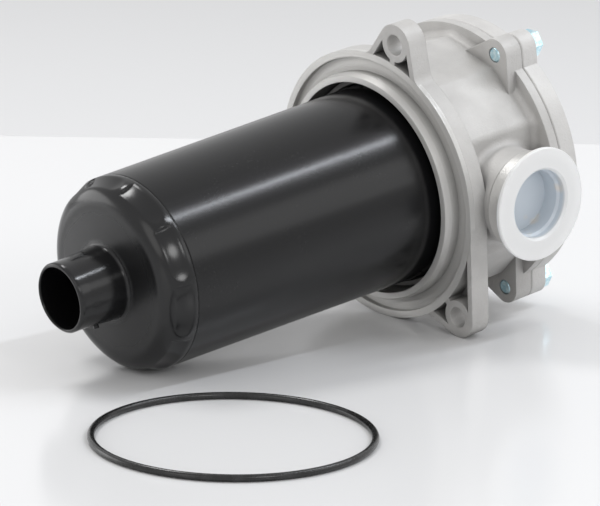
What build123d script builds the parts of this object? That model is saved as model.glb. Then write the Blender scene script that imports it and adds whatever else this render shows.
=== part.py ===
"""Tank-top return line filter: die-cast head, plastic bowl with outlet spigot, pleated element, inlet plug.

Millimetres. The origin is the centre of the flange's mounting face. +X runs along the filter axis from
the bowl to the cover, the inlet port looks along -Y, and +Z is up as the filter lies on a table.
Angles round the axis are counted from the port, and a positive angle turns from the port towards +Z.
"""

from build123d import *
from math import acos, asin, atan2, cos, degrees, hypot, radians, sin, tan
import os

os.makedirs("parts", exist_ok=True)

# ---------------------------------------------------------------- driving dimensions
# Bowl, the tube that all rings of the head are built round
bowl_top_r = 52.4
bowl_draw_in = 2.4
bowl_wall = 3.0
bowl_len = 172.5
bowl_collar_t = 4.6
bowl_collar_reach = 3.8
bowl_end_side = 2.5
bowl_shoulder_r = 13.5
bowl_face_slope = 8.0
bowl_corner_thick_r = 13.0
seam_edge = 0.35

# Recesses moulded round the shoulder of the domed end
recess_count = 10
recess_turn = -17.0
recess_span = 24.5
recess_depth = 1.25
recess_round_r = 30.0
recess_tilt = 68.0

# Outlet spigot and the nozzle behind it
spigot_len = 28.0
spigot_bore_r = 16.0
spigot_r = 17.8
spigot_base_r = 18.9
spigot_base_len = 21.0
spigot_fillet_r = 0.7
spigot_lead = 1.2
nib_x = -11.5
nib_len = 9.0
nib_h = 1.6
nib_w = 3.0
peg_x = -12.5
peg_r = 1.4
peg_h = 2.0
nozzle_len = 14.0
nozzle_wall = 2.4
nozzle_step = 14.5

# Flange of the head
lip_wall = 4.2
groove_width = 7.5
rim_land = 3.7
flange_t = 11.5
ear_reach = 11.0
ear_hole_r = 5.5
ear_tip_r = 11.0
ear_angles = (75.0, -45.0, -165.0)
flat_side_ear = -45.0
ear_side_slope = 24.0
ear_root_depth = 12.0
ear_fillet_r = 7.0
ear_wall = 3.2
ear_boss_wall = 3.6
ear_web = 3.6
pocket_floor = 1.8

# Groove for the flange seal, and the lip that centres the head in the tank's hole
seal_groove_depth = 2.8
lip_rise = 6.0
lip_lead = 3.4
lip_lead_drop = 1.0

# Body of the head
body_wall = 10.3
body_corner_angles = (28.5, 58.5, 90.0, 121.5, 152.0)
body_corner_fillet = 5.0
body_root_fillet = 3.4
rim_wall = 16.2
rim_x = 60.0
joint_x = 66.0
joint_edge = 0.7
lug_x = 54.5
lug_reach = 1.6
lug_tip_r = 8.6
lug_angles = (60.0, -60.0, 180.0)
lug_side_slope = 32.0
lug_root_depth = 8.0
chamber_edge = 1.2

# Ledge in the head that carries the bowl
ledge_gap = 1.0
ledge_width = 2.3
ledge_lip = 0.9
ledge_front_x = 5.0
ledge_back_x = 12.0
ledge_step = 3.0
ledge_slots = 9
ledge_slot_w = 2.0
ledge_slot_turn = 22.6

# Inlet port, G 1 1/4
port_x = 34.4
port_bore_r = 19.5
port_edge = 1.2
port_boss_r = 24.6
port_flare = 4.0
port_root = 6.0
port_collar_r = 25.6
port_neck = 17.56
port_collar_len = 10.0
port_groove = 0.6

# Plug of the inlet port
plug_flange_r = 29.5
plug_flange_t = 2.0
plug_wall = 1.5
plug_depth = 14.0
plug_taper_r = 1.2
plug_lip = 1.2

# Cover
cover_t = 11.0
cover_plate_t = 5.0
cover_edge = 0.9
cover_spigot_len = 7.0
cover_spigot_wall = 7.0
cover_boss_h = 2.5
screw_r = 4.0
screw_head_af = 13.0
screw_head_t = 5.3

# Element
element_play = 3.0
element_cap_wall = 1.5
element_cap_t = 3.0
element_cap_skirt = 5.0
element_top_x = 44.0
pleat_count = 36
pleat_inner_r = 23.0
pleat_t = 0.9
core_r = 21.4
core_wall = 1.2
core_hole_r = 3.6
core_hole_rows = 6
core_holes_per_row = 6
socket_wall = 4.6
socket_len = 8.0

# Bypass valve in the element's top cap
bypass_hole_r = 11.0
poppet_r = 13.5
poppet_t = 2.6
poppet_stem_r = 3.0
retainer_r = 17.0
retainer_wall = 1.2
retainer_len = 26.0
retainer_windows = 4
retainer_window_w = 12.0
bypass_spring_r = 7.5
bypass_spring_wire_r = 0.8
bypass_spring_turns = 5
hold_spring_r = 14.0
hold_spring_wire_r = 1.25
hold_spring_turns = 3
wire_sides = 8

# Seals
bowl_seal_section = 2.0
cover_seal_section = 2.6
element_seal_section = 2.4
seal_sides = 12
ring_wire_r = 1.75
ring_mean_r = 66.4

# Clearances
running_fit = 0.05
seat_gap = 0.3
screw_fit = 0.03
thread_lead = 0.8

# The flange seal was taken off and lies on the table beside the bowl's spigot
ring_lies_x = -204.0
ring_lies_y = -123.0

# ---------------------------------------------------------------- sizes that follow
# Rings of the head, from the bowl outwards
ledge_bore_r = bowl_top_r + ledge_gap
ledge_lip_r = ledge_bore_r + ledge_width
lip_bore_r = ledge_lip_r + ledge_lip
lip_r = lip_bore_r + lip_wall
seal_groove_r = lip_r + groove_width
flange_r = seal_groove_r + rim_land
ear_pitch_r = flange_r + ear_reach
chamber_r = bowl_top_r + bowl_collar_reach
body_corner_r = chamber_r + body_wall
rim_r = chamber_r + rim_wall
lug_pitch_r = rim_r + lug_reach

# Stations along the axis, from the ledge down to the spigot's mouth
bowl_seam_r = bowl_top_r - bowl_draw_in
bowl_seam_x = ledge_back_x - bowl_len
bowl_taper = bowl_draw_in / bowl_len
bowl_side_end_x = bowl_seam_x - bowl_end_side
bowl_side_end_r = bowl_seam_r - bowl_taper * bowl_end_side
shoulder_centre_r = bowl_side_end_r - bowl_shoulder_r
shoulder_foot_x = bowl_side_end_x - bowl_shoulder_r * cos(radians(bowl_face_slope))
shoulder_foot_r = shoulder_centre_r + bowl_shoulder_r * sin(radians(bowl_face_slope))
bowl_face_x = shoulder_foot_x - (shoulder_foot_r - spigot_base_r) * tan(radians(bowl_face_slope))
spigot_end_x = bowl_face_x - spigot_len
nozzle_step_x = bowl_face_x + nozzle_step
nozzle_end_x = nozzle_step_x + nozzle_len
element_bottom_x = nozzle_step_x + socket_len
element_cap_r = bowl_seam_r - bowl_wall - element_play
element_r = element_cap_r - element_cap_wall


# ---------------------------------------------------------------- helpers
def turned(angle):
    """Place turned to an angle counted from the port, for sketches on planes square to the axis."""
    return Location((0, 0, 0), (0, 0, 180.0 - angle))


def around(angle, radius):
    """Sketch point at a radius and an angle counted from the port."""
    return (-radius * cos(radians(angle)), radius * sin(radians(angle)))


def wedge(pitch, tip, slope, base):
    """Corners of the straight-sided wedge that leads from a round lug down to the ring it grows from."""
    reach = pitch + tip * sin(radians(slope))
    half = tip * cos(radians(slope))
    foot = half + (reach - base) * tan(radians(slope))
    return [(base, -foot), (reach, -half), (reach, half), (base, foot)]


def flat_side(ring, tip):
    """Corners of the side that runs along the common tangent of a flange ring and an ear tip."""
    normal = flat_side_ear + degrees(acos((flange_r - ear_tip_r) / ear_pitch_r))
    centre = around(flat_side_ear, ear_pitch_r)
    step = around(normal, tip)
    return [around(normal, ring), (centre[0] + step[0], centre[1] + step[1]), centre, (0, 0)]


def seal_section(x, radius, radial, axial):
    """Corners of a squeezed O-ring's section, centred at a radius on the axial station x."""
    corners = []
    for index in range(seal_sides):
        turn = radians(index * 360.0 / seal_sides)
        corners.append((x + axial / 2 * cos(turn), radius + radial / 2 * sin(turn)))
    return corners


# ---------------------------------------------------------------- head
# Die-cast: flange with three pocketed ears, twelve-sided body, port boss, rim and lugs for the cover.
ear_base_r = flange_r - ear_root_depth
lug_base_r = body_corner_r - lug_root_depth
ear_boss_r = ear_hole_r + ear_boss_wall
pocket_ring_r = flange_r + ear_wall - rim_land + 0.8
body_corners = [around(a, body_corner_r) for a in body_corner_angles]
body_corners += [around(-a, body_corner_r) for a in reversed(body_corner_angles)]
body_face_y = body_corner_r * cos(radians(body_corner_angles[0]))
port_root_y = body_face_y - port_root
port_collar_y = body_face_y + port_neck
port_face_y = port_collar_y + port_collar_len

with BuildPart() as head:
    # Round flange, body with rounded corners, round rim; fillets run round the body's both ends
    with BuildSketch(Plane.YZ):
        Circle(flange_r)
    extrude(amount=flange_t)
    with BuildSketch(Plane.YZ.offset(rim_x)):
        Circle(rim_r)
    extrude(amount=joint_x - rim_x)
    with BuildSketch(Plane.YZ.offset(flange_t)) as body_outline:
        Polygon(*body_corners, align=None)
        fillet(body_outline.vertices(), radius=body_corner_fillet)
    extrude(amount=rim_x - flange_t)
    inner_edges = head.edges().filter_by(lambda e: e.bounding_box().size.X < 0.01)
    root_edges = inner_edges.filter_by(lambda e: flange_t - 0.01 < e.center().X < rim_x + 0.01)
    root_edges = root_edges.filter_by(lambda e: e.length < rim_r)
    fillet(root_edges, radius=body_root_fillet)
    # Ears of the flange, one of them with a flat side
    with BuildSketch(Plane.YZ) as ear_outline:
        Circle(flange_r)
        for angle in ear_angles:
            with Locations(turned(angle)):
                Polygon(*wedge(ear_pitch_r, ear_tip_r, ear_side_slope, ear_base_r), align=None)
            with Locations(around(angle, ear_pitch_r)):
                Circle(ear_tip_r)
        foot_points = ear_outline.vertices().filter_by(lambda v: abs(hypot(v.X, v.Y) - flange_r) < 0.01)
        fillet(foot_points, radius=ear_fillet_r)
        Polygon(*flat_side(flange_r, ear_tip_r), align=None)
    extrude(amount=flange_t)
    # Lugs of the rim, each with a web down the body
    with BuildSketch(Plane.YZ.offset(lug_x)):
        for angle in lug_angles:
            with Locations(turned(angle)):
                Polygon(*wedge(lug_pitch_r, lug_tip_r, lug_side_slope, lug_base_r), align=None)
            with Locations(around(angle, lug_pitch_r)):
                Circle(lug_tip_r)
    extrude(amount=joint_x - lug_x)
    # Port boss with its root flare and its machined collar
    with BuildSketch(Plane.XY):
        with BuildLine():
            Polyline(
                (port_x, -port_root_y),
                (port_x, -port_face_y),
                (port_x - port_collar_r + joint_edge, -port_face_y),
                (port_x - port_collar_r, -port_face_y + joint_edge),
                (port_x - port_collar_r, -port_collar_y),
                (port_x - port_boss_r + port_groove, -port_collar_y),
                (port_x - port_boss_r + port_groove, -port_collar_y + port_groove),
                (port_x - port_boss_r, -port_collar_y + 2 * port_groove),
                (port_x - port_boss_r, -body_face_y - port_flare),
            )
            RadiusArc(
                (port_x - port_boss_r, -body_face_y - port_flare),
                (port_x - port_boss_r - port_flare, -body_face_y),
                -port_flare,
            )
            Polyline(
                (port_x - port_boss_r - port_flare, -body_face_y),
                (port_x - port_boss_r - port_flare, -port_root_y),
                (port_x, -port_root_y),
            )
        make_face()
    revolve(axis=Axis((port_x, 0, 0), (0, -1, 0)))
    # Seal groove round the lip, then the lip itself
    with BuildSketch(Plane.YZ):
        Circle(seal_groove_r)
    extrude(amount=seal_groove_depth, mode=Mode.SUBTRACT)
    with BuildSketch(Plane.XY):
        Polygon(
            (seal_groove_depth, lip_bore_r - ledge_lip),
            (seal_groove_depth, lip_r),
            (-lip_rise + lip_lead, lip_r),
            (-lip_rise, lip_r - lip_lead_drop),
            (-lip_rise, lip_bore_r - ledge_lip),
            align=None,
        )
    revolve(axis=Axis.X)
    # Bore: lip, ledge that carries the bowl, chamber
    with BuildSketch(Plane.XY):
        Polygon(
            (-2 * lip_rise, 0),
            (-2 * lip_rise, lip_bore_r),
            (ledge_front_x + ledge_step, lip_bore_r),
            (ledge_front_x + ledge_step, ledge_lip_r),
            (ledge_front_x, ledge_lip_r),
            (ledge_front_x, ledge_bore_r),
            (ledge_back_x, ledge_bore_r),
            (ledge_back_x, chamber_r),
            (joint_x - chamber_edge, chamber_r),
            (joint_x, chamber_r + chamber_edge),
            (joint_x + chamber_edge, chamber_r + chamber_edge),
            (joint_x + chamber_edge, 0),
            align=None,
        )
    revolve(axis=Axis.X, mode=Mode.SUBTRACT)
    with BuildSketch(Plane.YZ.offset(ledge_front_x)):
        for index in range(ledge_slots):
            with Locations(turned(ledge_slot_turn + index * 360.0 / ledge_slots)):
                with Locations(((ledge_bore_r + ledge_lip_r) / 2, 0)):
                    Rectangle(ledge_width + 2 * ledge_lip, ledge_slot_w)
    extrude(amount=ledge_step, mode=Mode.SUBTRACT)
    # Port bore with its lead-in
    with BuildSketch(Plane.XY):
        Polygon(
            (port_x, 0),
            (port_x, -port_face_y - port_edge),
            (port_x - port_bore_r - 2 * port_edge, -port_face_y - port_edge),
            (port_x - port_bore_r, -port_face_y + port_edge),
            (port_x - port_bore_r, 0),
            align=None,
        )
    revolve(axis=Axis((port_x, 0, 0), (0, -1, 0)), mode=Mode.SUBTRACT)
    # Blind pockets in the ears, either side of a web that carries the bolt's boss
    with BuildSketch(Plane.YZ):
        for angle in ear_angles:
            with Locations(turned(angle)):
                inner_wedge = wedge(ear_pitch_r, ear_tip_r - ear_wall, ear_side_slope, ear_base_r)
                Polygon(*inner_wedge, align=None)
        Polygon(*flat_side(flange_r - ear_wall, ear_tip_r - ear_wall), align=None)
        Circle(pocket_ring_r, mode=Mode.SUBTRACT)
        for angle in ear_angles:
            with Locations(around(angle, ear_pitch_r)):
                Circle(ear_boss_r, mode=Mode.SUBTRACT)
            with Locations(turned(angle)):
                with Locations((pocket_ring_r, 0)):
                    Rectangle(2 * (ear_pitch_r - pocket_ring_r), ear_web, mode=Mode.SUBTRACT)
    extrude(amount=flange_t - pocket_floor, mode=Mode.SUBTRACT)
    # Bolt holes of the ears and threaded holes of the lugs
    with BuildSketch(Plane.YZ):
        for angle in ear_angles:
            with Locations(around(angle, ear_pitch_r)):
                Circle(ear_hole_r)
    extrude(amount=flange_t, mode=Mode.SUBTRACT)
    with BuildSketch(Plane.YZ.offset(lug_x)):
        for angle in lug_angles:
            with Locations(around(angle, lug_pitch_r)):
                Circle(screw_r + screw_fit)
    extrude(amount=joint_x - lug_x, mode=Mode.SUBTRACT)
    # Broken edge all round the joint face, which shows as the line between head and cover
    joint_face = head.faces().filter_by(Axis.X).sort_by(Axis.X)[-1]
    chamfer(joint_face.outer_wire().edges(), joint_edge)
head.part.label = "head"
export_step(head.part, "parts/head.step")

# ---------------------------------------------------------------- cover
# Die-cast lid with three lugs over the head's lugs and a spigot that carries its seal inside the chamber.
cover_top_x = joint_x + cover_t
cover_spigot_r = chamber_r - running_fit
cover_spigot_x = joint_x - cover_spigot_len
cover_dish_r = cover_spigot_r - cover_spigot_wall
cover_dish_x = cover_top_x - cover_plate_t
cover_groove_x = joint_x - cover_spigot_len / 2
cover_groove_half = cover_seal_section * 0.65
cover_seal_radial = cover_seal_section * 0.86
cover_seal_axial = cover_seal_section * 1.12
cover_groove_r = chamber_r - cover_seal_radial

with BuildPart() as cover:
    with BuildSketch(Plane.YZ.offset(joint_x)):
        Circle(rim_r)
        for angle in lug_angles:
            with Locations(turned(angle)):
                Polygon(*wedge(lug_pitch_r, lug_tip_r, lug_side_slope, lug_base_r), align=None)
            with Locations(around(angle, lug_pitch_r)):
                Circle(lug_tip_r)
    extrude(amount=cover_t)
    chamfer(cover.faces().sort_by(Axis.X)[-1].outer_wire().edges(), cover_edge)
    chamfer(cover.faces().sort_by(Axis.X)[0].outer_wire().edges(), joint_edge)
    with BuildSketch(Plane.XY):
        Polygon(
            (joint_x + chamber_edge, cover_dish_r),
            (joint_x + chamber_edge, cover_spigot_r),
            (cover_groove_x + cover_groove_half, cover_spigot_r),
            (cover_groove_x + cover_groove_half, cover_groove_r),
            (cover_groove_x - cover_groove_half, cover_groove_r),
            (cover_groove_x - cover_groove_half, cover_spigot_r),
            (cover_spigot_x + chamber_edge, cover_spigot_r),
            (cover_spigot_x, cover_spigot_r - chamber_edge),
            (cover_spigot_x, cover_dish_r),
            align=None,
        )
    revolve(axis=Axis.X)
    with BuildSketch(Plane.YZ.offset(cover_spigot_x)):
        Circle(cover_dish_r)
    extrude(amount=cover_dish_x - cover_spigot_x, mode=Mode.SUBTRACT)
    # Seat ring for the element's hold-down spring
    with BuildSketch(Plane.YZ.offset(cover_dish_x - cover_boss_h)):
        Circle(hold_spring_r - hold_spring_wire_r - seat_gap)
        Circle(hold_spring_r - hold_spring_wire_r - seat_gap - cover_boss_h, mode=Mode.SUBTRACT)
    extrude(amount=cover_boss_h)
    # Clearance holes of the screws
    with BuildSketch(Plane.YZ.offset(joint_x)):
        for angle in lug_angles:
            with Locations(around(angle, lug_pitch_r)):
                Circle(screw_r + 4 * running_fit)
    extrude(amount=cover_t, mode=Mode.SUBTRACT)
cover.part.label = "cover"
export_step(cover.part, "parts/cover.step")

cover_seal_r = chamber_r - cover_seal_radial / 2
with BuildPart() as cover_seal:
    with BuildSketch(Plane.XY):
        section = seal_section(cover_groove_x, cover_seal_r, cover_seal_radial, cover_seal_axial)
        Polygon(*section, align=None)
    revolve(axis=Axis.X)
cover_seal.part.label = "cover_seal"
export_step(cover_seal.part, "parts/cover_seal.step")

# Three M8 hexagon screws, their thread ends flush with the lugs' front faces
with BuildPart() as cover_screws:
    with BuildSketch(Plane.YZ.offset(lug_x)):
        for angle in lug_angles:
            with Locations(around(angle, lug_pitch_r)):
                Circle(screw_r)
    extrude(amount=cover_top_x - lug_x)
    with BuildSketch(Plane.YZ.offset(cover_top_x)):
        for angle in lug_angles:
            with Locations(turned(angle)):
                with Locations((lug_pitch_r, 0)):
                    RegularPolygon(screw_head_af / 2, 6, major_radius=False)
    extrude(amount=screw_head_t)
    chamfer(cover_screws.faces().filter_by(Axis.X).group_by(Axis.X)[0].edges(), thread_lead)
cover_screws.part.label = "cover_screws"
export_step(cover_screws.part, "parts/cover_screws.step")

# ---------------------------------------------------------------- inlet plug
# Moulded push-in plug: wide flange that seats on the port's face, hollow cup with a tapered end.
plug_r = port_bore_r - running_fit
plug_bore_r = plug_r - plug_wall
plug_front_y = port_face_y + plug_flange_t
plug_end_y = port_face_y - plug_depth
plug_edge = plug_flange_t / 4
with BuildPart() as inlet_plug:
    with BuildSketch(Plane.XY):
        with BuildLine():
            Polyline(
                (port_x, -plug_end_y),
                (port_x - plug_r + plug_taper_r, -plug_end_y),
                (port_x - plug_r, -plug_end_y - 3 * plug_taper_r),
                (port_x - plug_r, -port_face_y),
                (port_x - plug_flange_r, -port_face_y),
                (port_x - plug_flange_r, -plug_front_y + plug_edge),
                (port_x - plug_flange_r + plug_edge, -plug_front_y),
                (port_x - plug_bore_r - plug_lip, -plug_front_y),
                (port_x - plug_bore_r, -plug_front_y + plug_lip),
                (port_x - plug_bore_r, -plug_front_y + 4 * plug_lip),
                (port_x - plug_bore_r + plug_lip, -plug_front_y + 5 * plug_lip),
                (port_x - plug_bore_r + plug_lip, -plug_end_y - plug_wall),
                (port_x, -plug_end_y - plug_wall),
                (port_x, -plug_end_y),
            )
        make_face()
    revolve(axis=Axis((port_x, 0, 0), (0, -1, 0)))
inlet_plug.part.label = "inlet_plug"
export_step(inlet_plug.part, "parts/inlet_plug.step")

# ---------------------------------------------------------------- bowl
# Moulded tube, drawn in towards the bottom, hung by its collar on the ledge and sealed in the chamber.
bowl_collar_r = chamber_r - running_fit
bowl_collar_x = ledge_back_x + bowl_collar_t
bowl_groove_x = ledge_back_x + bowl_collar_t / 2
bowl_groove_half = bowl_seal_section * 0.65
bowl_seal_radial = bowl_seal_section * 0.86
bowl_seal_axial = bowl_seal_section * 1.12
bowl_groove_r = chamber_r - bowl_seal_radial

with BuildPart() as bowl:
    with BuildSketch(Plane.XY):
        Polygon(
            (bowl_seam_x, bowl_seam_r - bowl_wall),
            (bowl_seam_x, bowl_seam_r - seam_edge),
            (bowl_seam_x + seam_edge, bowl_seam_r),
            (ledge_back_x, bowl_top_r),
            (ledge_back_x, bowl_collar_r),
            (bowl_groove_x - bowl_groove_half, bowl_collar_r),
            (bowl_groove_x - bowl_groove_half, bowl_groove_r),
            (bowl_groove_x + bowl_groove_half, bowl_groove_r),
            (bowl_groove_x + bowl_groove_half, bowl_collar_r),
            (bowl_collar_x, bowl_collar_r),
            (bowl_collar_x, bowl_top_r - bowl_wall),
            align=None,
        )
    revolve(axis=Axis.X)
bowl.part.label = "bowl"
export_step(bowl.part, "parts/bowl.step")

bowl_seal_r = chamber_r - bowl_seal_radial / 2
with BuildPart() as bowl_seal:
    with BuildSketch(Plane.XY):
        section = seal_section(bowl_groove_x, bowl_seal_r, bowl_seal_radial, bowl_seal_axial)
        Polygon(*section, align=None)
    revolve(axis=Axis.X)
bowl_seal.part.label = "bowl_seal"
export_step(bowl_seal.part, "parts/bowl_seal.step")

# Domed end, welded to the tube at the seam, with the outlet spigot outside and the element's nozzle inside
inside_centre_r = bowl_side_end_r - bowl_wall - bowl_corner_thick_r
inside_foot_x = bowl_side_end_x - bowl_corner_thick_r * cos(radians(bowl_face_slope))
inside_foot_r = inside_centre_r + bowl_corner_thick_r * sin(radians(bowl_face_slope))
inside_floor_x = inside_foot_x - (inside_foot_r - spigot_base_r) * tan(radians(bowl_face_slope))
nozzle_r = spigot_bore_r + nozzle_wall
nozzle_step_r = nozzle_r + nozzle_wall
spigot_straight_x = bowl_face_x - spigot_base_len
recess_arm = bowl_shoulder_r + recess_round_r - recess_depth
recess_path_r = shoulder_centre_r + recess_arm * sin(radians(recess_tilt))
recess_path_x = bowl_side_end_x - recess_arm * cos(radians(recess_tilt))
with BuildPart() as bowl_end:
    with BuildSketch(Plane.XY):
        with BuildLine():
            Polyline(
                (bowl_seam_x, bowl_seam_r - seam_edge),
                (bowl_seam_x - seam_edge, bowl_seam_r),
                (bowl_side_end_x, bowl_side_end_r),
            )
            RadiusArc((bowl_side_end_x, bowl_side_end_r), (shoulder_foot_x, shoulder_foot_r), -bowl_shoulder_r)
            Polyline(
                (shoulder_foot_x, shoulder_foot_r),
                (bowl_face_x, spigot_base_r),
                (spigot_straight_x, spigot_r),
                (spigot_end_x + spigot_lead, spigot_r),
                (spigot_end_x, spigot_r - spigot_lead),
                (spigot_end_x, spigot_bore_r),
                (nozzle_end_x, spigot_bore_r),
                (nozzle_end_x, nozzle_r - spigot_lead),
                (nozzle_end_x - spigot_lead, nozzle_r),
                (nozzle_step_x, nozzle_r),
                (nozzle_step_x, nozzle_step_r),
                (inside_floor_x, nozzle_step_r),
                (inside_foot_x, inside_foot_r),
            )
            RadiusArc(
                (inside_foot_x, inside_foot_r),
                (bowl_side_end_x, bowl_side_end_r - bowl_wall),
                bowl_corner_thick_r,
            )
            Polyline(
                (bowl_side_end_x, bowl_side_end_r - bowl_wall),
                (bowl_seam_x, bowl_seam_r - bowl_wall),
                (bowl_seam_x, bowl_seam_r - seam_edge),
            )
        make_face()
    revolve(axis=Axis.X)
    base_edge = bowl_end.edges().filter_by(GeomType.CIRCLE)
    base_edge = base_edge.filter_by(lambda e: abs(e.center().X - bowl_face_x) < 0.01)
    fillet(base_edge.filter_by(lambda e: abs(e.radius - spigot_base_r) < 0.01), radius=spigot_fillet_r)
    # Shallow recesses round the shoulder: a sharp edge at one end, run out round at the other
    for index in range(recess_count):
        start = radians(recess_turn + index * 360.0 / recess_count)
        outward = Vector(0, -cos(start), sin(start))
        across = Vector(1, 0, 0).cross(outward)
        with BuildSketch(Plane(origin=(0, 0, 0), x_dir=(1, 0, 0), z_dir=across)):
            with Locations((recess_path_x, recess_path_r)):
                Circle(recess_round_r)
        revolve(axis=Axis.X.reverse(), revolution_arc=recess_span, mode=Mode.SUBTRACT)
        with Locations(Vector(recess_path_x, 0, 0) + outward * recess_path_r):
            Sphere(recess_round_r, mode=Mode.SUBTRACT)
    # Moulding nib on top of the spigot and locating peg below it
    with BuildSketch(Plane.XZ):
        Polygon(
            (bowl_face_x + nib_x, spigot_bore_r + nozzle_wall / 2),
            (bowl_face_x + nib_x, spigot_r + nib_h),
            (bowl_face_x + nib_x - nib_len, spigot_r),
            (bowl_face_x + nib_x - nib_len, spigot_bore_r + nozzle_wall / 2),
            align=None,
        )
    extrude(amount=nib_w / 2, both=True)
    with BuildSketch(Plane(origin=(bowl_face_x + peg_x, 0, 0), z_dir=(0, -0.36, -0.93)).offset(spigot_bore_r + 1)):
        Circle(peg_r)
    extrude(amount=spigot_r - spigot_bore_r - 1 + peg_h)
bowl_end.part.label = "bowl_end"
export_step(bowl_end.part, "parts/bowl_end.step")

# ---------------------------------------------------------------- element
# Pleated medium on a perforated core between two caps; the bottom cap's socket slides over the nozzle.
socket_bore_r = nozzle_r + running_fit
socket_r = socket_bore_r + socket_wall
socket_end_x = nozzle_step_x
socket_groove_x = (nozzle_step_x + element_bottom_x) / 2
socket_groove_half = element_seal_section * 0.65
element_seal_radial = element_seal_section * 0.86
element_seal_axial = element_seal_section * 1.12
socket_groove_r = nozzle_r + element_seal_radial
core_in_r = core_r - core_wall

with BuildPart() as element_bottom_cap:
    with BuildSketch(Plane.XY):
        Polygon(
            (socket_end_x, socket_bore_r),
            (socket_end_x, socket_r),
            (element_bottom_x - element_cap_t, socket_r),
            (element_bottom_x - element_cap_t, element_cap_r),
            (element_bottom_x + element_cap_skirt, element_cap_r),
            (element_bottom_x + element_cap_skirt, element_r + running_fit),
            (element_bottom_x, element_r + running_fit),
            (element_bottom_x, socket_bore_r),
            (socket_groove_x + socket_groove_half, socket_bore_r),
            (socket_groove_x + socket_groove_half, socket_groove_r),
            (socket_groove_x - socket_groove_half, socket_groove_r),
            (socket_groove_x - socket_groove_half, socket_bore_r),
            align=None,
        )
    revolve(axis=Axis.X)
element_bottom_cap.part.label = "element_bottom_cap"
export_step(element_bottom_cap.part, "parts/element_bottom_cap.step")

element_seal_r = nozzle_r + element_seal_radial / 2
with BuildPart() as element_seal:
    with BuildSketch(Plane.XY):
        section = seal_section(socket_groove_x, element_seal_r, element_seal_radial, element_seal_axial)
        Polygon(*section, align=None)
    revolve(axis=Axis.X)
element_seal.part.label = "element_seal"
export_step(element_seal.part, "parts/element_seal.step")

with BuildPart() as element_core:
    with BuildSketch(Plane.YZ.offset(element_bottom_x)):
        Circle(core_r)
        Circle(core_in_r, mode=Mode.SUBTRACT)
    extrude(amount=element_top_x - element_bottom_x)
    core_hole_pitch = (element_top_x - element_bottom_x) / (core_hole_rows + 1)
    for row in range(core_hole_rows):
        row_x = element_bottom_x + (row + 1) * core_hole_pitch
        for index in range(core_holes_per_row):
            turn = (index + row / 2) * 360.0 / core_holes_per_row
            hole_dir = (0, cos(radians(turn)), sin(radians(turn)))
            with BuildSketch(Plane(origin=(row_x, 0, 0), x_dir=(1, 0, 0), z_dir=hole_dir)):
                Circle(core_hole_r)
            extrude(amount=core_r + 1.0, mode=Mode.SUBTRACT)
element_core.part.label = "element_core"
export_step(element_core.part, "parts/element_core.step")

# Star-shaped folded medium, closed into a ring round the core
pleat_points = []
for index in range(pleat_count):
    fold = index * 360.0 / pleat_count
    half_fold = 180.0 / pleat_count
    pleat_points.append(around(fold, element_r))
    pleat_points.append(around(fold + half_fold, pleat_inner_r + pleat_t))
inner_points = []
for index in range(pleat_count):
    fold = index * 360.0 / pleat_count
    inner_points.append(around(fold, element_r - 4 * pleat_t))
    inner_points.append(around(fold + half_fold, pleat_inner_r - pleat_t))
with BuildPart() as element_media:
    with BuildSketch(Plane.YZ.offset(element_bottom_x)):
        Polygon(*pleat_points, align=None)
        Polygon(*inner_points, align=None, mode=Mode.SUBTRACT)
    extrude(amount=element_top_x - element_bottom_x)
element_media.part.label = "element_media"
export_step(element_media.part, "parts/element_media.step")

top_cap_x = element_top_x + element_cap_t
with BuildPart() as element_top_cap:
    with BuildSketch(Plane.XY):
        Polygon(
            (top_cap_x, bypass_hole_r),
            (top_cap_x, element_cap_r),
            (element_top_x - element_cap_skirt, element_cap_r),
            (element_top_x - element_cap_skirt, element_r + running_fit),
            (element_top_x, element_r + running_fit),
            (element_top_x, bypass_hole_r),
            align=None,
        )
    revolve(axis=Axis.X)
element_top_cap.part.label = "element_top_cap"
export_step(element_top_cap.part, "parts/element_top_cap.step")

# ---------------------------------------------------------------- bypass valve
# Poppet that closes the hole in the top cap from inside, pressed by a spring on its stamped cage.
retainer_end_x = element_top_x - retainer_len
poppet_back_x = element_top_x - poppet_t
poppet_stem_end_x = retainer_end_x - 2 * retainer_wall
with BuildPart() as bypass_retainer:
    with BuildSketch(Plane.XY):
        Polygon(
            (element_top_x, retainer_r - retainer_wall),
            (element_top_x, retainer_r),
            (retainer_end_x, retainer_r),
            (retainer_end_x, poppet_stem_r + running_fit),
            (retainer_end_x + retainer_wall, poppet_stem_r + running_fit),
            (retainer_end_x + retainer_wall, retainer_r - retainer_wall),
            align=None,
        )
    revolve(axis=Axis.X)
    window_len = retainer_len - 6 * retainer_wall
    for index in range(retainer_windows):
        turn = index * 360.0 / retainer_windows
        window_dir = (0, cos(radians(turn)), sin(radians(turn)))
        window_plane = Plane(origin=(retainer_end_x + retainer_len / 2, 0, 0), x_dir=(1, 0, 0), z_dir=window_dir)
        with BuildSketch(window_plane.offset(bypass_spring_r + 2 * bypass_spring_wire_r)):
            Rectangle(window_len, retainer_window_w)
        extrude(amount=retainer_r, mode=Mode.SUBTRACT)
bypass_retainer.part.label = "bypass_retainer"
export_step(bypass_retainer.part, "parts/bypass_retainer.step")

with BuildPart() as bypass_poppet:
    with BuildSketch(Plane.XY):
        Polygon(
            (element_top_x, 0),
            (element_top_x, poppet_r),
            (poppet_back_x, poppet_r),
            (poppet_back_x, poppet_stem_r),
            (poppet_stem_end_x, poppet_stem_r),
            (poppet_stem_end_x, 0),
            align=None,
        )
    revolve(axis=Axis.X)
bypass_poppet.part.label = "bypass_poppet"
export_step(bypass_poppet.part, "parts/bypass_poppet.step")


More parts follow.
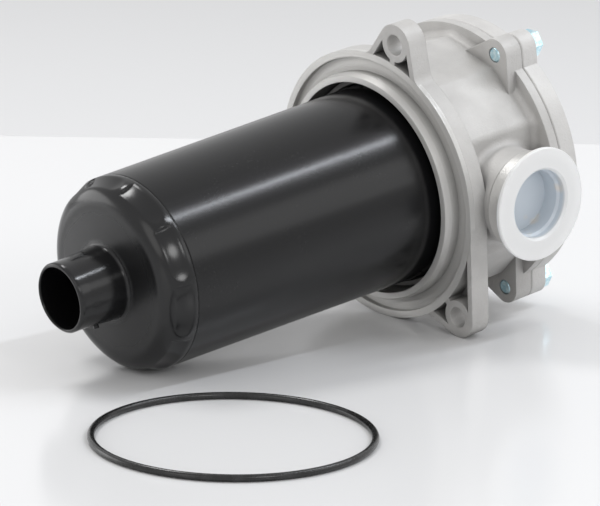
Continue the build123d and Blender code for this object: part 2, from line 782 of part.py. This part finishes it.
# Coil springs on the filter's axis, from a seat at x_from to a seat at x_to
def coil(x_from, x_to, coil_radius, wire_radius, turns):
    """Path of a coil spring whose wire ends just clear of both seats."""
    height = x_to - x_from - 2 * wire_radius - 2 * running_fit
    start = (x_from + wire_radius + running_fit, 0, 0)
    with BuildLine() as path:
        Helix(pitch=height / turns, height=height, radius=coil_radius, center=start, direction=(1, 0, 0))
    return path.line


bypass_path = coil(
    retainer_end_x + retainer_wall,
    poppet_back_x,
    bypass_spring_r,
    bypass_spring_wire_r,
    bypass_spring_turns,
)
with BuildPart() as bypass_spring:
    with BuildSketch(Plane(origin=bypass_path @ 0, z_dir=bypass_path % 0)):
        RegularPolygon(bypass_spring_wire_r, wire_sides)
    sweep(path=bypass_path, is_frenet=True)
bypass_spring.part.label = "bypass_spring"
export_step(bypass_spring.part, "parts/bypass_spring.step")

hold_path = coil(top_cap_x, cover_dish_x, hold_spring_r, hold_spring_wire_r, hold_spring_turns)
with BuildPart() as hold_down_spring:
    with BuildSketch(Plane(origin=hold_path @ 0, z_dir=hold_path % 0)):
        RegularPolygon(hold_spring_wire_r, wire_sides)
    sweep(path=hold_path, is_frenet=True)
hold_down_spring.part.label = "hold_down_spring"
export_step(hold_down_spring.part, "parts/hold_down_spring.step")

# ---------------------------------------------------------------- flange seal
# O-ring of the tank flange, lying free on the table. The filter rests on the flange's rim, on the tip of
# the flat-sided ear and on the bowl's shoulder; these three contacts give the plane of the table.
rest_roll = radians(flat_side_ear) + asin((flange_r - ear_tip_r) / ear_pitch_r)
rest_reach = hypot(bowl_side_end_x, flange_r - shoulder_centre_r)
rest_lean = acos(bowl_shoulder_r / rest_reach) - atan2(-bowl_side_end_x, flange_r - shoulder_centre_r)
table_up = Vector(sin(rest_lean), cos(rest_lean) * sin(rest_roll), cos(rest_lean) * cos(rest_roll))
table_level = -flange_r * cos(rest_lean)
ring_level = table_level + ring_wire_r
ring_z = (ring_level - table_up.X * ring_lies_x - table_up.Y * ring_lies_y) / table_up.Z
with BuildPart(Plane(origin=(ring_lies_x, ring_lies_y, ring_z), z_dir=table_up)) as flange_seal:
    Torus(ring_mean_r, ring_wire_r)
flange_seal.part.label = "flange_seal"
export_step(flange_seal.part, "parts/flange_seal.step")

print("table normal", table_up, "level", table_level)
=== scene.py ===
"""Finishes, table, light and camera for a return line filter that lies on a table.

Lengths are in metres and colours are linear. The sections follow the filter as it is put together.
"""
import math

import bpy
from mathutils import Matrix, Vector


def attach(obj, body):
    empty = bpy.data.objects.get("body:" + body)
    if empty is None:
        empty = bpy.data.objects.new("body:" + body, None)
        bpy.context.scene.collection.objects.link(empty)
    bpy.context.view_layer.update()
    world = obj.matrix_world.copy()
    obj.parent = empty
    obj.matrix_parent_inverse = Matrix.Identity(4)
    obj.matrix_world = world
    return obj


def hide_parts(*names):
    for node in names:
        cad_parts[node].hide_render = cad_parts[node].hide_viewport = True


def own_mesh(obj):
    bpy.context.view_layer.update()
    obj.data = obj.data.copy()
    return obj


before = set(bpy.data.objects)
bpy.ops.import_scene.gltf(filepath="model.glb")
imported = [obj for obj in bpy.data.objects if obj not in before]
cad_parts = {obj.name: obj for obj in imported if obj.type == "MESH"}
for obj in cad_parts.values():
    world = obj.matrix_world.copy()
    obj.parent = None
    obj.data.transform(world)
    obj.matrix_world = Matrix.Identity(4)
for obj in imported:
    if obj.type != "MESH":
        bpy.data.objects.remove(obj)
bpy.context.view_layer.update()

bpy.ops.object.select_all(action="DESELECT")

# ---------------------------------------------------------------- bowl
# The bowl is a black glass-filled plastic tube round the element. It is moulded over a long core,
# whose pull leaves faint lines along its satin skin, and its collar sits on a ledge in the head.
bowl_black = (0.0055, 0.0055, 0.006, 1)
bowl_dust = (0.08, 0.08, 0.08, 1)
bowl_dusting = 0.25
bowl_roughness = (0.20, 0.24)
bowl_ior = 1.39
pull_lines_per_metre = (6.0, 300.0, 300.0)
pores_per_metre = 1500.0


def fit(tree, kind, inputs=None, **settings):
    """Put a node in a finish; inputs maps its socket names or numbers to values or sockets."""
    node = tree.nodes.new(kind)
    for name, setting in settings.items():
        setattr(node, name, setting)
    for name, value in (inputs or {}).items():
        socket = node.inputs[name]
        if isinstance(value, bpy.types.NodeSocket):
            tree.links.new(value, socket)
        else:
            socket.default_value = value
    return node


def on_piece(tree):
    """Place on the piece itself, which its patterns follow."""
    return fit(tree, "ShaderNodeTexCoord").outputs["Object"]


def reckon(tree, operation, first, second=0.5):
    """Sum, product or other result of two values or sockets."""
    return fit(tree, "ShaderNodeMath", {0: first, 1: second}, operation=operation).outputs[0]


def spread(tree, value, low, high, to_low=0.0, to_high=1.0):
    """Value stretched from the range low to high onto another, and held at its ends."""
    span = {0: value, 1: low, 2: high, 3: to_low, 4: to_high}
    return fit(tree, "ShaderNodeMapRange", span).outputs[0]


def mottle(tree, place, per_metre, detail=3.0):
    """Soft uneven pattern with so many patches to the metre."""
    pattern = {"Vector": place, "Scale": per_metre, "Detail": detail}
    return fit(tree, "ShaderNodeTexNoise", pattern).outputs[0]


def swing(tree, pattern, low=0.0, high=1.0):
    """Value that follows a soft pattern, which mostly lies from 0.3 to 0.7, from low to high."""
    return spread(tree, pattern, 0.3, 0.7, low, high)


def mix_tone(tree, share, first, second):
    """Colour between two others."""
    tones = {0: share, 6: first, 7: second}
    return fit(tree, "ShaderNodeMix", tones, data_type="RGBA").outputs[2]


def relief(tree, height, strength, depth, **rounding):
    """Normal of a surface with a fine relief; rounding gives edge_r and samples of soft edges."""
    inputs = {"Strength": strength, "Distance": depth, "Height": height}
    if rounding:
        radius = {"Radius": rounding["edge_r"]}
        edges = fit(tree, "ShaderNodeBevel", radius, samples=rounding["samples"])
        inputs["Normal"] = edges.outputs[0]
    return fit(tree, "ShaderNodeBump", inputs).outputs[0]


def start_finish(name):
    """Empty finish: its material and its node tree."""
    material = bpy.data.materials.new(name)
    material.use_nodes = True
    material.node_tree.nodes.clear()
    return material, material.node_tree


def coat(material, sockets, *pieces):
    """End a finish with its shader, whose sockets are given, and coat the filter's pieces in it."""
    shader = fit(material.node_tree, "ShaderNodeBsdfPrincipled", sockets)
    fit(material.node_tree, "ShaderNodeOutputMaterial", {0: shader.outputs[0]})
    for piece in pieces:
        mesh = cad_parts[piece].data
        mesh.materials.clear()
        mesh.materials.append(material)


def start_effect(name, size, usual, *results):
    """Empty effect for several finishes: its node group, its one size, and the node it ends in."""
    effect = bpy.data.node_groups.new(name, "ShaderNodeTree")
    socket = effect.interface.new_socket(name=size, in_out="INPUT", socket_type="NodeSocketFloat")
    socket.default_value = usual
    for result in results:
        effect.interface.new_socket(name=result, in_out="OUTPUT", socket_type="NodeSocketFloat")
    entry = effect.nodes.new("NodeGroupInput")
    return effect, entry.outputs[size], effect.nodes.new("NodeGroupOutput")


# Dust from handling: soft specks that lie thicker in patches.
specks_per_metre = 900.0
speck_edge = (0.60, 0.72)
patches_per_metre = 22.0
patch_edge = (0.42, 0.68)
dust_specks, amount, end = start_effect("dust_specks", "Amount", 0.3, "Mask")
place = on_piece(dust_specks)
specks = spread(dust_specks, mottle(dust_specks, place, specks_per_metre, 2.0), *speck_edge)
patches = spread(dust_specks, mottle(dust_specks, place, patches_per_metre), *patch_edge)
dust = reckon(dust_specks, "MULTIPLY", reckon(dust_specks, "MULTIPLY", specks, patches), amount)
dust_specks.links.new(dust, end.inputs["Mask"])

satin_black, tree = start_finish("satin_black_plastic")
place = on_piece(tree)
along_tube = fit(tree, "ShaderNodeMapping", {"Vector": place, "Scale": pull_lines_per_metre})
pull_lines = mottle(tree, along_tube.outputs[0], 1.0, 4.0)
dust = fit(tree, "ShaderNodeGroup", {"Amount": bowl_dusting}, node_tree=dust_specks)
skin = reckon(tree, "ADD", pull_lines, mottle(tree, place, pores_per_metre, 2.0))
coat(
    satin_black,
    {
        "Base Color": mix_tone(tree, dust.outputs["Mask"], bowl_black, bowl_dust),
        "Roughness": swing(tree, pull_lines, *bowl_roughness),
        "IOR": bowl_ior,
        "Normal": relief(tree, skin, strength=0.12, depth=0.00005),
    },
    "bowl",
)

# ---------------------------------------------------------------- domed end of the bowl
# The end with the outlet spigot is moulded by itself and welded to the tube at a thin seam. Its
# plastic is glossy but for the satin flat face, and the recesses in its shoulder have soft edges.
recess_edge_r = 0.0022
end_face_x = -0.1785
end_face_fade = 0.004
spigot_foot_r = 0.0205
spigot_foot_fade = 0.001
gloss_roughness = (0.15, 0.19)
gloss_patches_per_metre = 60.0
satin_roughness = 0.34
end_ior = 1.46
end_pores_per_metre = 900.0


def mix_value(tree, share, first, second):
    """Value between two others."""
    values = {0: share, 2: first, 3: second}
    return fit(tree, "ShaderNodeMix", values, data_type="FLOAT").outputs[0]


# Rings that a lathe leaves round the filter's axis, with the radius and the place along the axis.
turned_rings, ring_pitch, end = start_effect(
    "turned_rings", "Ring pitch", 0.0004, "Height", "Radius", "Along"
)
place = fit(turned_rings, "ShaderNodeSeparateXYZ", {0: on_piece(turned_rings)}).outputs
side_square = reckon(turned_rings, "POWER", place["Y"], 2.0)
up_square = reckon(turned_rings, "POWER", place["Z"], 2.0)
radius = reckon(turned_rings, "SQRT", reckon(turned_rings, "ADD", side_square, up_square))
feed = reckon(turned_rings, "ADD", radius, place["X"])
turns = reckon(turned_rings, "DIVIDE", feed, ring_pitch)
rings = fit(
    turned_rings,
    "ShaderNodeTexNoise",
    {"W": turns, "Scale": 1.0, "Detail": 2.0},
    noise_dimensions="1D",
)
turned_rings.links.new(rings.outputs[0], end.inputs["Height"])
turned_rings.links.new(radius, end.inputs["Radius"])
turned_rings.links.new(place["X"], end.inputs["Along"])

gloss_black, tree = start_finish("gloss_black_plastic")
place = on_piece(tree)
gloss = swing(tree, mottle(tree, place, gloss_patches_per_metre), *gloss_roughness)
measure = fit(tree, "ShaderNodeGroup", node_tree=turned_rings).outputs
near_end = spread(tree, measure["Along"], end_face_x, end_face_x + end_face_fade, 1.0, 0.0)
off_spigot = spread(
    tree, measure["Radius"], spigot_foot_r - spigot_foot_fade, spigot_foot_r + spigot_foot_fade
)
flat_face = reckon(tree, "MULTIPLY", near_end, off_spigot)
pores = mottle(tree, place, end_pores_per_metre)
coat(
    gloss_black,
    {
        "Base Color": bowl_black,
        "Roughness": mix_value(tree, flat_face, gloss, satin_roughness),
        "IOR": end_ior,
        "Normal": relief(tree, pores, 0.1, 0.00004, edge_r=recess_edge_r, samples=8),
    },
    "bowl_end",
)

# ---------------------------------------------------------------- head
# The head is an aluminium die casting: a flange with three ears, a twelve-sided body, the port's
# boss and a rim. It is shot-blasted, and the flange's face and the port's collar are then turned.
cast_dark = (0.475, 0.465, 0.452, 1)
cast_light = (0.58, 0.57, 0.555, 1)
# Colour of the painted shade in the castings' pockets and grooves.
painted_shade_tone = (0.10, 0.097, 0.094, 1)
cast_dust = (0.75, 0.73, 0.70, 1)
turned_tone = (0.60, 0.592, 0.575, 1)
cast_edge_r = 0.0008
cast_metallic = 0.35
cast_roughness = 0.58
turned_metallic = 0.6
turned_roughness = 0.42
blast_strength = 0.9
blast_depth = 0.00025
flange_face_x = 0.0030
flange_face_r = 0.0722
port_collar_y = -0.0760
turned_fade = 0.0001
head_grain = 0.0009
head_ring_pitch = 0.00035
head_dusting = 0.15
head_pocket_reach = 0.008
head_shade_share = 0.75

# Blasted skin: a fine grain of bead marks over the slow unevenness that the die leaves.
die_waves_per_metre = 45.0
die_wave_share = 2.2
blasted_skin, grain_size, end = start_effect(
    "blasted_skin", "Grain size", 0.0006, "Height", "Mottle"
)
place = on_piece(blasted_skin)
grain = mottle(blasted_skin, place, reckon(blasted_skin, "DIVIDE", 1.0, grain_size))
die_waves = mottle(blasted_skin, place, die_waves_per_metre, 4.0)
wave_height = reckon(blasted_skin, "MULTIPLY", die_waves, die_wave_share)
blasted_skin.links.new(reckon(blasted_skin, "ADD", grain, wave_height), end.inputs["Height"])
blasted_skin.links.new(die_waves, end.inputs["Mottle"])

# Painted shade that darkens pockets and grooves, where the surface is closed in within a reach.
shade_edge = (0.20, 0.80)
pocket_shade, reach, end = start_effect("pocket_shade", "Reach", 0.008, "Mask")
# Ambient Occlusion finds where the painted shade falls.
openness = fit(pocket_shade, "ShaderNodeAmbientOcclusion", {"Distance": reach}, samples=8)
closed_in = spread(pocket_shade, openness.outputs["AO"], *shade_edge, 1.0, 0.0)
pocket_shade.links.new(closed_in, end.inputs["Mask"])

cast_aluminium, tree = start_finish("cast_aluminium")
skin = fit(tree, "ShaderNodeGroup", {"Grain size": head_grain}, node_tree=blasted_skin).outputs
measure = fit(
    tree, "ShaderNodeGroup", {"Ring pitch": head_ring_pitch}, node_tree=turned_rings
).outputs
dust = fit(tree, "ShaderNodeGroup", {"Amount": head_dusting}, node_tree=dust_specks)
shade = fit(tree, "ShaderNodeGroup", {"Reach": head_pocket_reach}, node_tree=pocket_shade)


def up_to(tree, value, limit):
    """One up to a limit and nought past it, with a short fade."""
    return spread(tree, value, limit - turned_fade, limit + turned_fade, 1.0, 0.0)


near_face = up_to(tree, measure["Along"], flange_face_x)
inside_rim = up_to(tree, measure["Radius"], flange_face_r)
face_turned = reckon(tree, "MULTIPLY", near_face, inside_rim)
side = fit(tree, "ShaderNodeSeparateXYZ", {0: on_piece(tree)}).outputs["Y"]
turned = reckon(tree, "MAXIMUM", face_turned, up_to(tree, side, port_collar_y))
cast_tone = mix_tone(tree, swing(tree, skin["Mottle"]), cast_dark, cast_light)
clean_tone = mix_tone(tree, turned, cast_tone, turned_tone)
dusty_tone = mix_tone(tree, dust.outputs["Mask"], clean_tone, cast_dust)
shade_share = reckon(tree, "MULTIPLY", shade.outputs["Mask"], head_shade_share)
height = mix_value(tree, face_turned, skin["Height"], measure["Height"])
coat(
    cast_aluminium,
    {
        # The base colour darkens towards painted shade in the head's pockets and grooves.
        "Base Color": mix_tone(tree, shade_share, dusty_tone, painted_shade_tone),
        "Metallic": mix_value(tree, turned, cast_metallic, turned_metallic),
        "Roughness": mix_value(tree, turned, cast_roughness, turned_roughness),
        "Normal": relief(
            tree, height, blast_strength, blast_depth, edge_r=cast_edge_r, samples=6
        ),
    },
    "head",
)

# ---------------------------------------------------------------- element's metal and bypass cage
# The element's end caps and perforated core, and the bypass valve's cage and poppet, are pressed
# or turned from tinned sheet steel. The valve sits on the element's top cap.
tin_dark = (0.56, 0.56, 0.54, 1)
tin_light = (0.66, 0.66, 0.64, 1)
tin_roughness = (0.25, 0.4)
tin_ring_pitch = 0.0006
tin_clouds_per_metre = 80.0
tinned_steel, tree = start_finish("tinned_steel")
measure = fit(tree, "ShaderNodeGroup", {"Ring pitch": tin_ring_pitch}, node_tree=turned_rings)
cloud = mottle(tree, on_piece(tree), tin_clouds_per_metre, 4.0)
coat(
    tinned_steel,
    {
        "Base Color": mix_tone(tree, cloud, tin_dark, tin_light),
        "Metallic": 1.0,
        "Roughness": swing(tree, cloud, *tin_roughness),
        "Normal": relief(tree, measure.outputs["Height"], strength=0.1, depth=0.00005),
    },
    "element_top_cap",
    "element_bottom_cap",
    "element_core",
    "bypass_retainer",
    "bypass_poppet",
)

# ---------------------------------------------------------------- filter medium
# The medium is resin-bound paper, folded into pleats round the core and glued into the end caps.
# Its fibres show as a fine rough mottle of paler and darker specks.
paper_dark = (0.62, 0.55, 0.38, 1)
paper_light = (0.75, 0.69, 0.53, 1)
paper_roughness = 0.85
fibres_per_metre = 1400.0
filter_paper, tree = start_finish("filter_paper")
fibres = mottle(tree, on_piece(tree), fibres_per_metre, 5.0)
coat(
    filter_paper,
    {
        "Base Color": mix_tone(tree, swing(tree, fibres), paper_dark, paper_light),
        "Roughness": paper_roughness,
        "Normal": relief(tree, fibres, strength=0.4, depth=0.0001),
    },
    "element_media",
)

# ---------------------------------------------------------------- springs
# Two coils of oiled spring wire: one in the cage holds the bypass poppet shut, and the other
# stands between the element and the cover, and holds the element down.
wire_dark = (0.21, 0.21, 0.22, 1)
wire_light = (0.29, 0.29, 0.30, 1)
wire_roughness = (0.25, 0.4)
wire_marks_per_metre = 900.0
spring_wire, tree = start_finish("spring_wire")
drawn_skin = mottle(tree, on_piece(tree), wire_marks_per_metre)
coat(
    spring_wire,
    {
        "Base Color": mix_tone(tree, drawn_skin, wire_dark, wire_light),
        "Metallic": 1.0,
        "Roughness": swing(tree, drawn_skin, *wire_roughness),
        "Normal": relief(tree, drawn_skin, strength=0.2, depth=0.00005),
    },
    "bypass_spring",
    "hold_down_spring",
)

# The bypass coil stands on the cage's floor, and shortens against it as the poppet opens.
coil_weld = 0.000001
coil_smooth_angle = math.radians(70.0)
bypass_coil = bpy.data.objects.new("bypass_coil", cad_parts["bypass_spring"].data.copy())
bpy.context.collection.objects.link(bypass_coil)
bypass_coil.select_set(True)
bpy.context.view_layer.objects.active = bypass_coil
bpy.ops.object.mode_set(mode="EDIT")
bpy.ops.mesh.select_all(action="SELECT")
bpy.ops.mesh.remove_doubles(threshold=coil_weld)
bpy.ops.object.mode_set(mode="OBJECT")
bpy.ops.object.shade_smooth_by_angle(angle=coil_smooth_angle)
bypass_coil.select_set(False)
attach(bypass_coil, "filter")
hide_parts("bypass_spring")
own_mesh(bypass_coil)

# ---------------------------------------------------------------- cover
# The cover is cast in the same aluminium as the head and blasted all over, with a slightly coarser
# grain. Its spigot closes the head's chamber on a seal, and three screws hold it down.
cover_dark = (0.54, 0.53, 0.518, 1)
cover_light = (0.64, 0.63, 0.615, 1)
cover_grain = 0.0011
cover_dusting = 0.2
cover_pocket_reach = 0.005
cover_shade_share = 0.5
cover_aluminium, tree = start_finish("cover_aluminium")
skin = fit(tree, "ShaderNodeGroup", {"Grain size": cover_grain}, node_tree=blasted_skin).outputs
dust = fit(tree, "ShaderNodeGroup", {"Amount": cover_dusting}, node_tree=dust_specks)
shade = fit(tree, "ShaderNodeGroup", {"Reach": cover_pocket_reach}, node_tree=pocket_shade)
clean_tone = mix_tone(tree, swing(tree, skin["Mottle"]), cover_dark, cover_light)
dusty_tone = mix_tone(tree, dust.outputs["Mask"], clean_tone, cast_dust)
shade_share = reckon(tree, "MULTIPLY", shade.outputs["Mask"], cover_shade_share)
coat(
    cover_aluminium,
    {
        # The base colour darkens towards painted shade in the cover's pockets and grooves.
        "Base Color": mix_tone(tree, shade_share, dusty_tone, painted_shade_tone),
        "Metallic": cast_metallic,
        "Roughness": cast_roughness,
        "Normal": relief(
            tree, skin["Height"], blast_strength, blast_depth, edge_r=cast_edge_r, samples=6
        ),
    },
    "cover",
)

# ---------------------------------------------------------------- cover screws
# Three hexagon screws hold the cover, and their ends show in the head's lugs. They are steel with
# clouded blue zinc plating, and their thread shows as ridges along the shank.
thread_pitch = 0.00125
thread_end_x = 0.0660
thread_fade = 0.0002
zinc_deep = (0.46, 0.72, 0.82, 1)
zinc_pale = (0.72, 0.90, 0.95, 1)
zinc_clouds_per_metre = 420.0
zinc_cloud_edge = (0.38, 0.62)
zinc_cloud_share = 2.0
zinc_metallic = 0.9
zinc_roughness = 0.24
blue_zinc, tree = start_finish("blue_zinc")
place = on_piece(tree)
cloud = mottle(tree, place, zinc_clouds_per_metre, 4.0)
along = fit(tree, "ShaderNodeSeparateXYZ", {0: place}).outputs["X"]
turns = reckon(tree, "MULTIPLY", along, 2.0 * math.pi / thread_pitch)
threaded = spread(tree, along, thread_end_x, thread_end_x + thread_fade, 1.0, 0.0)
ridges = reckon(tree, "MULTIPLY", reckon(tree, "SINE", turns), threaded)
height = reckon(tree, "ADD", ridges, reckon(tree, "MULTIPLY", cloud, zinc_cloud_share))
coat(
    blue_zinc,
    {
        "Base Color": mix_tone(
            tree, spread(tree, cloud, *zinc_cloud_edge), zinc_deep, zinc_pale
        ),
        "Metallic": zinc_metallic,
        "Roughness": zinc_roughness,
        "Normal": relief(tree, height, strength=0.6, depth=0.0002),
    },
    "cover_screws",
)

# ---------------------------------------------------------------- inlet plug
# The transport plug is moulded in milky polyethylene and pushed into the inlet port by hand. Its
# recess stands in the dark port, and painted shade makes it bluer than the flange, with a painted
# warm reflection in patches.
plug_white = (0.94, 0.94, 0.935, 1)
plug_shaded_blue = (0.72, 0.78, 0.84, 1)
plug_warm_reflection = (0.90, 0.82, 0.72, 1)
plug_reflections_per_metre = 60.0
plug_reflection_edge = (0.5, 0.65)
plug_patches_per_metre = 90.0
plug_roughness = (0.28, 0.38)
plug_pores_per_metre = 700.0
plug_clearness = 0.20
plug_ior = 1.5
plug_flange_y = -0.0850
plug_fade = 0.002
milky_polyethylene, tree = start_finish("milky_polyethylene")
place = on_piece(tree)
side = fit(tree, "ShaderNodeSeparateXYZ", {0: place}).outputs["Y"]
in_port = spread(tree, side, plug_flange_y - plug_fade, plug_flange_y)
warm_reflection = spread(tree, mottle(tree, place, plug_reflections_per_metre, 2.0), *plug_reflection_edge)
patches = mottle(tree, place, plug_patches_per_metre)
pores = mottle(tree, place, plug_pores_per_metre)
coat(
    milky_polyethylene,
    {
        # Painted shade turns the part in the port bluish, with a painted warm reflection in
        # patches.
        "Base Color": mix_tone(
            tree, in_port, plug_white, mix_tone(tree, warm_reflection, plug_shaded_blue, plug_warm_reflection)
        ),
        "Roughness": swing(tree, patches, *plug_roughness),
        "IOR": plug_ior,
        "Transmission Weight": plug_clearness,
        "Normal": relief(tree, pores, strength=0.15, depth=0.00005),
    },
    "inlet_plug",
)

# ---------------------------------------------------------------- seals
# The seals are moulded rubber rings with a smooth black skin and a faint bloom. The large one lies
# beside the filter, and the others sit at the cover, the bowl's collar and the element's socket.
rubber_black = (0.007, 0.007, 0.007, 1)
rubber_bloom = (0.020, 0.020, 0.021, 1)
bloom_per_metre = 140.0
bloom_edge = (0.45, 0.7)
mould_marks_per_metre = 1200.0
rubber_roughness = (0.20, 0.30)
rubber_ior = 1.5
black_rubber, tree = start_finish("black_rubber")
place = on_piece(tree)
bloom = spread(tree, mottle(tree, place, bloom_per_metre, 4.0), *bloom_edge)
mould_skin = mottle(tree, place, mould_marks_per_metre)
coat(
    black_rubber,
    {
        "Base Color": mix_tone(tree, bloom, rubber_black, rubber_bloom),
        "Roughness": swing(tree, mould_skin, *rubber_roughness),
        "IOR": rubber_ior,
        "Normal": relief(tree, mould_skin, strength=0.15, depth=0.00005),
    },
    "flange_seal",
    "cover_seal",
    "bowl_seal",
    "element_seal",
)

# ---------------------------------------------------------------- table and room
# The table is a glossy white board that ends behind the filter, and the room's floor goes on past
# it. The filter rests on its flange's rim, an ear and the bowl's shoulder, so the table leans in
# the filter's own frame. Both boards are clear from below.
table_up = Vector((0.133239, 0.039811, 0.990284)).normalized()
table_level = -0.071358
table_tone = (0.80, 0.80, 0.805, 1)
table_roughness = 0.16
table_far = 0.43
table_near = 3.0
table_half = 3.0
floor_tone = (0.70, 0.70, 0.705, 1)
floor_roughness = 0.6
floor_far = 4.0
floor_near = 4.0
floor_half = 5.0
floor_drop = 0.02
lacquer_wear = 0.05
wear_per_metre = 3.0
lacquer_ior = 1.45
camera_forward = Vector((0.60059, 0.71622, -0.35541)).normalized()
away = (camera_forward - camera_forward.dot(table_up) * table_up).normalized()
across = away.cross(table_up).normalized()


def lay_board(name, far, near, half, drop, tone, roughness):
    """Flat board, drop below the table's top, from near, towards the camera, to far."""
    bpy.ops.mesh.primitive_plane_add(size=1.0)
    board = bpy.context.object
    board.name = name
    centre = table_up * (table_level - drop) + away * (far - near) / 2
    basis = Matrix((across * 2 * half, away * (far + near), table_up)).transposed()
    board.data.transform(Matrix.Translation(centre) @ basis.to_4x4())
    material, tree = start_finish(name + "_lacquer")
    worn = mottle(tree, on_piece(tree), wear_per_metre)
    wear = swing(tree, worn, roughness, roughness + lacquer_wear)
    sockets = {"Base Color": tone, "Roughness": wear, "IOR": lacquer_ior}
    lacquer = fit(tree, "ShaderNodeBsdfPrincipled", sockets).outputs[0]
    clear = fit(tree, "ShaderNodeBsdfTransparent").outputs[0]
    below = fit(tree, "ShaderNodeNewGeometry").outputs["Backfacing"]
    shown = fit(tree, "ShaderNodeMixShader", {0: below, 1: lacquer, 2: clear})
    fit(tree, "ShaderNodeOutputMaterial", {0: shown.outputs[0]})
    board.data.materials.append(material)
    board.select_set(False)


lay_board("table_top", table_far, table_near, table_half, 0.0, table_tone, table_roughness)
lay_board(
    "room_floor", floor_far, floor_near, floor_half, floor_drop, floor_tone, floor_roughness
)

# ---------------------------------------------------------------- light
# A white room gives most of the light. A narrow strip high on the right draws the bright line along
# the bowl, a wide weak panel below it draws the broad second line, and four soft boxes light the
# castings and the dome's shoulder. In what shines, the room looks paler than the light it gives.
room_white = (1.0, 1.0, 1.0, 1)
room_level = 0.66
backdrop_tone = (0.90, 0.90, 0.905, 1)
backdrop_level = 0.92
filter_middle = Vector((-0.05, 0, 0))
plain_light = (1.0, 1.0, 1.0)
cool_light = (0.90, 0.94, 1.0)
warm_light = (1.0, 0.985, 0.96)
room_light = bpy.data.worlds.new("room_light")
room_light.use_nodes = True
bpy.context.scene.world = room_light
tree = room_light.node_tree
tree.nodes.clear()
ray = fit(tree, "ShaderNodeLightPath").outputs
seen = reckon(tree, "MAXIMUM", ray["Is Camera Ray"], ray["Is Transmission Ray"])
seen = reckon(tree, "MAXIMUM", seen, ray["Is Glossy Ray"])
room = fit(tree, "ShaderNodeBackground", {0: room_white, 1: room_level}).outputs[0]
backdrop = fit(tree, "ShaderNodeBackground", {0: backdrop_tone, 1: backdrop_level}).outputs[0]
shown = fit(tree, "ShaderNodeMixShader", {0: seen, 1: room, 2: backdrop})
fit(tree, "ShaderNodeOutputWorld", {0: shown.outputs[0]})


def hang_lamp(name, towards, distance, width, length, power, along, tone=plain_light):
    """Soft oval lamp that aims at the filter's middle, with its long side in line with along."""
    light = bpy.data.lights.new(name, "AREA")
    light.shape = "ELLIPSE"
    light.size = length
    light.size_y = width
    light.energy = power
    light.color = tone
    lamp = bpy.data.objects.new(name, light)
    bpy.context.collection.objects.link(lamp)
    back = Vector(towards).normalized()
    side = (Vector(along) - Vector(along).dot(back) * back).normalized()
    basis = Matrix((side, back.cross(side), back)).transposed()
    lamp.matrix_world = Matrix.Translation(filter_middle + back * distance) @ basis.to_4x4()


lengthways = (1, 0, 0)
hang_lamp(
    "streak_strip",
    towards=(0.60, -0.31, 0.737),
    distance=1.6,
    width=0.06,
    length=1.3,
    power=7.5,
    along=lengthways,
    tone=cool_light,
)
hang_lamp(
    "side_panel",
    towards=(0.60, -0.70, 0.38),
    distance=1.6,
    width=0.70,
    length=1.2,
    power=2.2,
    along=lengthways,
)
hang_lamp(
    "overhead",
    towards=(0.02, 0.50, 0.87),
    distance=1.6,
    width=0.42,
    length=0.52,
    power=7.5,
    along=lengthways,
)
hang_lamp(
    "front_fill",
    towards=(-0.2, -0.83, 0.52),
    distance=1.7,
    width=0.38,
    length=0.48,
    power=3.2,
    along=lengthways,
)
hang_lamp(
    "left_fill",
    towards=(-1.0, -0.2, 0.5),
    distance=1.9,
    width=1.0,
    length=1.0,
    power=2.5,
    along=(0, 1, 0),
    tone=warm_light,
)
hang_lamp(
    "back_left",
    towards=(-0.50, 0.84, 0.20),
    distance=1.7,
    width=0.7,
    length=1.2,
    power=4.5,
    along=(1, 0.6, 0),
)

# ---------------------------------------------------------------- camera
# A long lens stands at the front left, a little above the filter, and looks down on it. It stands
# far off, so the filter is drawn with little perspective.
camera_place = Vector((-1.2212, -1.3929, 0.6692))
camera_upright = Vector((0.27753, 0.23014, 0.93275))
camera_data = bpy.data.cameras.new("camera")
camera_data.sensor_width = 36.0
camera_data.lens = 228.0
camera_data.clip_end = 50.0
camera = bpy.data.objects.new("camera", camera_data)
bpy.context.collection.objects.link(camera)
camera_right = camera_forward.cross(camera_upright).normalized()
camera_up = camera_right.cross(camera_forward)
camera_basis = Matrix((camera_right, camera_up, -camera_forward)).transposed()
camera.matrix_world = Matrix.Translation(camera_place) @ camera_basis.to_4x4()
bpy.context.scene.camera = camera
bpy.context.scene.view_settings.view_transform = "Standard"
